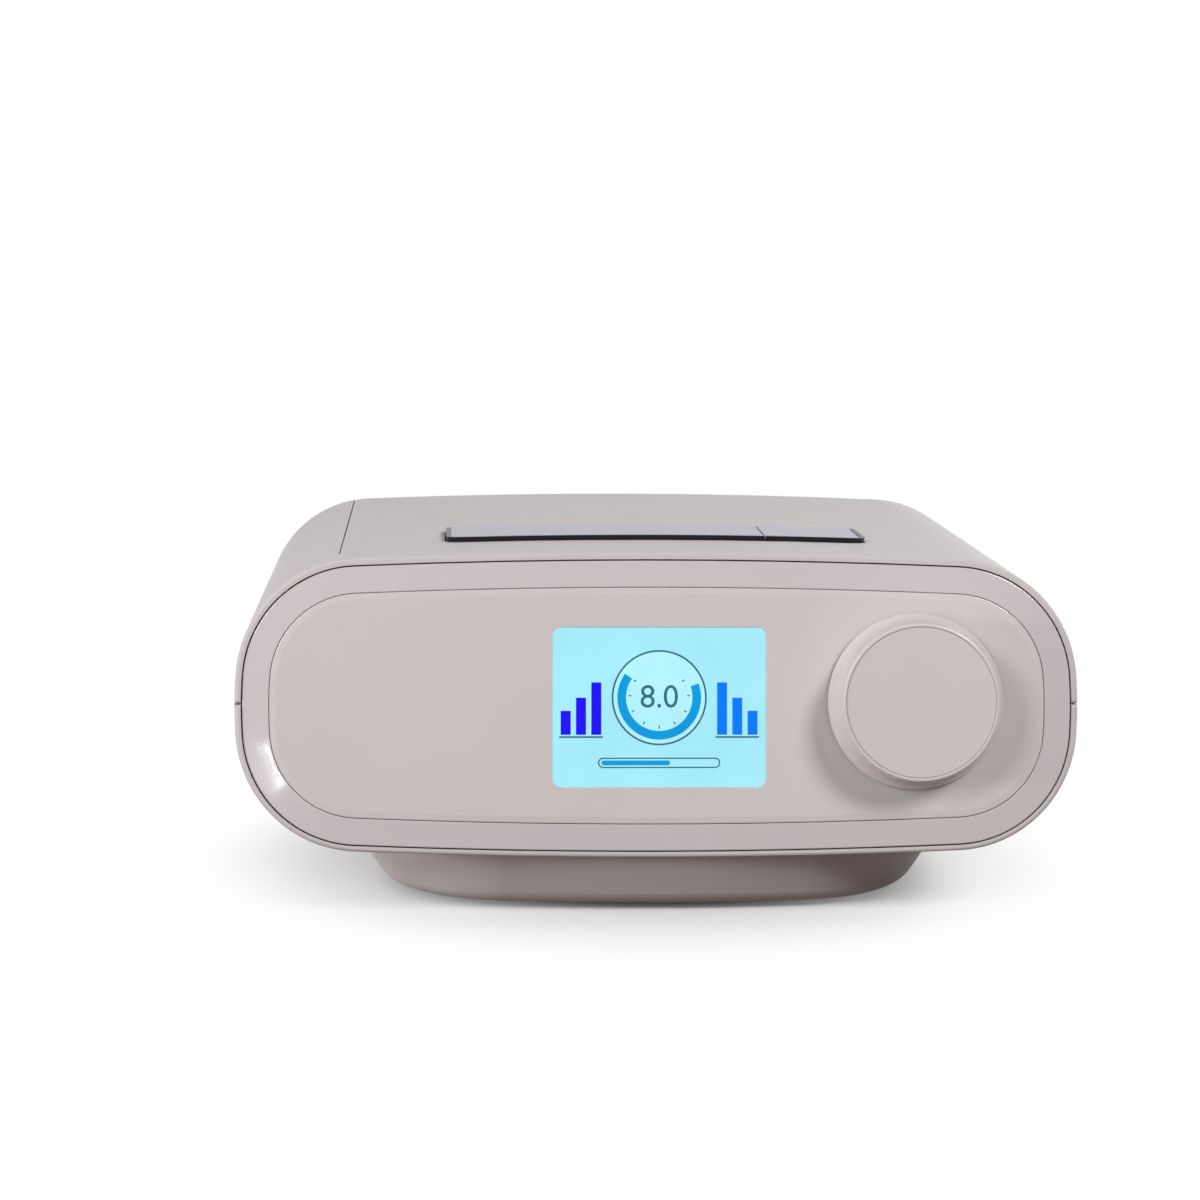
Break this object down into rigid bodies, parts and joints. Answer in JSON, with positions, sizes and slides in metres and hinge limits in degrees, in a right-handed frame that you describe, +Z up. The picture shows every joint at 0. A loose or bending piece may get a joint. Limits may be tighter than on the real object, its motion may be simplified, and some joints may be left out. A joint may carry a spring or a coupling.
{
  "type": "cpap machine",
  "caption": "Low rounded bedside air-pressure machine on a set-back foot, with a leaning ringed front, screen, turn-and-press dial, top keys, side door, blower and rear air port.",
  "frame": {"origin": "on the table, at the middle of the footprint", "axes": "+X to the right of a user who faces the front, +Y from the front to the rear, +Z up"},
  "size_m": [0.193, 0.1572, 0.0851],
  "materials": {
    "casing": "satin moulded casing",
    "foot_rubber": "matte rubber",
    "ring": "glossy front ring",
    "panel": "satin front panel",
    "window": "clear window",
    "screen": "screen module",
    "dial": "satin dial",
    "key": "satin key",
    "trim": "dark polished trim",
    "board": "circuit board",
    "component": "moulded component",
    "metal": "plain steel",
    "brass": "plain brass",
    "silicone": "translucent silicone",
    "inner": "inner moulding",
    "foam": "open-cell foam",
    "wheel": "moulded wheel",
    "magnet": "coated magnet",
    "coil": "enamelled winding",
    "card": "card shell"
  },
  "bodies": {
    "root": {"lower_housing": "casing", "upper_housing": "casing", "front_bezel": "ring", "fascia_panel": "panel", "display_window": "window", "display_module": "screen", "display_board": "board", "display_header": "component", "board_screws": "metal", "encoder_dome": "metal", "encoder_body": "component", "button_keypad": "silicone", "main_board": "board", "board_parts": "component", "buzzer": "component", "card_socket": "metal", "memory_card": "card", "door_pin": "metal", "filter_bay": "inner", "pollen_filter": "foam", "blower_base": "inner", "blower_cover": "inner", "blower_spigot": "inner", "motor_can": "metal", "motor_stator": "coil", "motor_bearings": "metal", "blower_mounts": "silicone", "inlet_duct": "inner", "muffler_foam": "foam", "air_outlet": "inner", "outlet_boot": "silicone", "flow_sensor": "component", "power_inlet": "component", "module_cover": "casing", "rubber_feet": "foot_rubber", "housing_screws": "metal"},
    "dial_plunger": {"encoder_plunger": "component"},
    "dial": {"dial_skirt": "dial", "dial_face": "dial", "dial_hub": "inner", "encoder_shaft": "brass"},
    "start_button": {"start_button": "key", "start_trim": "trim"},
    "ramp_button": {"ramp_button": "key", "ramp_trim": "trim"},
    "side_door": {"side_door": "casing"},
    "impeller": {"impeller": "wheel", "motor_shaft": "metal", "rotor_magnet": "magnet"}
  },
  "joints": [
    {"name": "dial_press", "type": "slide", "parent": "root", "child": "dial_plunger", "axis": [0, 0.9903, -0.1392], "range_m": [0, 0.0008], "stiffness_N_per_m": 2500, "springref_m": -0.0006, "deforming": ["encoder_dome"]},
    {"name": "dial_turn", "type": "hinge", "parent": "dial_plunger", "child": "dial", "pos_m": [0.0588, -0.06636, 0.05044], "axis": [0, -0.9903, 0.1392], "continuous": true},
    {"name": "start_press", "type": "slide", "parent": "root", "child": "start_button", "axis": [0, 0, -1], "range_m": [0, 0.0008], "stiffness_N_per_m": 1500, "springref_m": -0.0006, "deforming": ["button_keypad"]},
    {"name": "ramp_press", "type": "slide", "parent": "root", "child": "ramp_button", "axis": [0, 0, -1], "range_m": [0, 0.0008], "stiffness_N_per_m": 1500, "springref_m": -0.0006, "deforming": ["button_keypad"]},
    {"name": "door_swing", "type": "hinge", "parent": "root", "child": "side_door", "pos_m": [-0.07555, 0, 0.07918], "axis": [0, 1, 0], "range_deg": [0, 80]},
    {"name": "impeller_spin", "type": "hinge", "parent": "root", "child": "impeller", "pos_m": [0.026, 0, 0.036], "axis": [0, 0, 1], "continuous": true}
  ]
}
